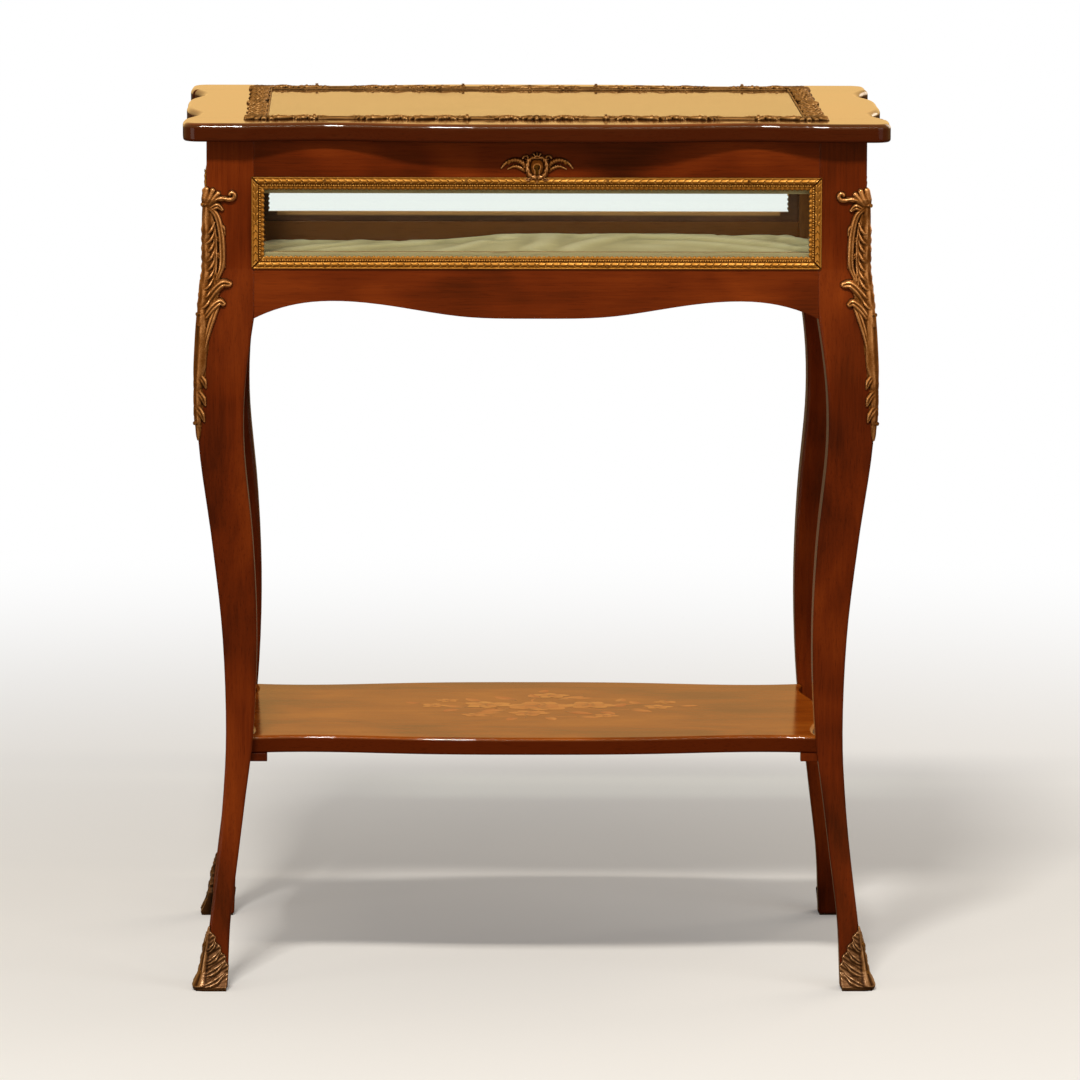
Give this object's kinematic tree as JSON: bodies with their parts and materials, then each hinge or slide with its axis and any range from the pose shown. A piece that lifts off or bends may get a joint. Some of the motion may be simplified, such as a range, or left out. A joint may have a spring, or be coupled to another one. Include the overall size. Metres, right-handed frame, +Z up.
{
  "type": "collectors display table",
  "caption": "Shallow glazed display case with a rear-hinged glass-topped serpentine lid, on cabriole legs joined by a shaped undershelf, with gilt mounts",
  "frame": {"origin": "On the floor, under the middle of the table.", "axes": "+Z up, the front with the lock faces -Y, +X to the right of a person facing the front."},
  "size_m": [0.6114, 0.4206, 0.7646],
  "materials": {
    "veneer": "polished reddish-brown veneer",
    "bead_wood": "paler moulded wood",
    "board": "plain board",
    "glass": "clear sheet glass",
    "satin": "pale green satin",
    "gilt_brass": "aged gilt brass",
    "bronze": "dark patinated bronze",
    "hinge_brass": "plain brass",
    "steel": "dull steel"
  },
  "bodies": {
    "case": {"apron_back": "veneer", "apron_front": "veneer", "apron_left": "veneer", "apron_right": "veneer", "case_floor": "board", "corner_mount_back_left": "gilt_brass", "corner_mount_back_right": "gilt_brass", "corner_mount_front_left": "gilt_brass", "corner_mount_front_right": "gilt_brass", "escutcheon": "gilt_brass", "escutcheon_pins": "gilt_brass", "glazing_beads_back": "bead_wood", "glazing_beads_front": "bead_wood", "glazing_beads_left": "bead_wood", "glazing_beads_right": "bead_wood", "hinge_case_screws": "steel", "hinge_left_case_leaf": "hinge_brass", "hinge_left_pin": "hinge_brass", "hinge_right_case_leaf": "hinge_brass", "hinge_right_pin": "hinge_brass", "leg_back_left": "veneer", "leg_back_right": "veneer", "leg_front_left": "veneer", "leg_front_right": "veneer", "lining_pad": "satin", "lock_case": "hinge_brass", "lock_case_screws": "steel", "mount_pins": "gilt_brass", "pane_back": "glass", "pane_front": "glass", "pane_left": "glass", "pane_right": "glass", "sabot_back_left": "bronze", "sabot_back_right": "bronze", "sabot_front_left": "bronze", "sabot_front_right": "bronze", "shelf": "veneer", "shelf_blocks": "veneer", "shelf_screws": "steel", "top_rail_back": "veneer", "top_rail_front": "veneer", "top_rail_left": "veneer", "top_rail_right": "veneer", "window_moulding_back": "gilt_brass", "window_moulding_front": "gilt_brass", "window_moulding_left": "gilt_brass", "window_moulding_right": "gilt_brass"},
    "lid": {"hinge_left_lid_leaf": "hinge_brass", "hinge_lid_screws": "steel", "hinge_right_lid_leaf": "hinge_brass", "lid_border": "gilt_brass", "lid_border_pins": "gilt_brass", "lid_glass": "glass", "lid_rail_back": "veneer", "lid_rail_front": "veneer", "lid_stile_left": "veneer", "lid_stile_right": "veneer", "lock_link_plate": "hinge_brass", "lock_link_screws": "steel"},
    "lock_bolt": {"lock_bolt": "steel"}
  },
  "joints": [
    {"name": "lid_hinge", "type": "hinge", "parent": "case", "child": "lid", "pos_m": [0, 0.1875, 0.744], "axis": [-1, 0, 0], "range_deg": [0, 98]},
    {"name": "lock_bolt_slide", "type": "slide", "parent": "case", "child": "lock_bolt", "axis": [1, 0, 0], "range_m": [0, 0.006]}
  ]
}
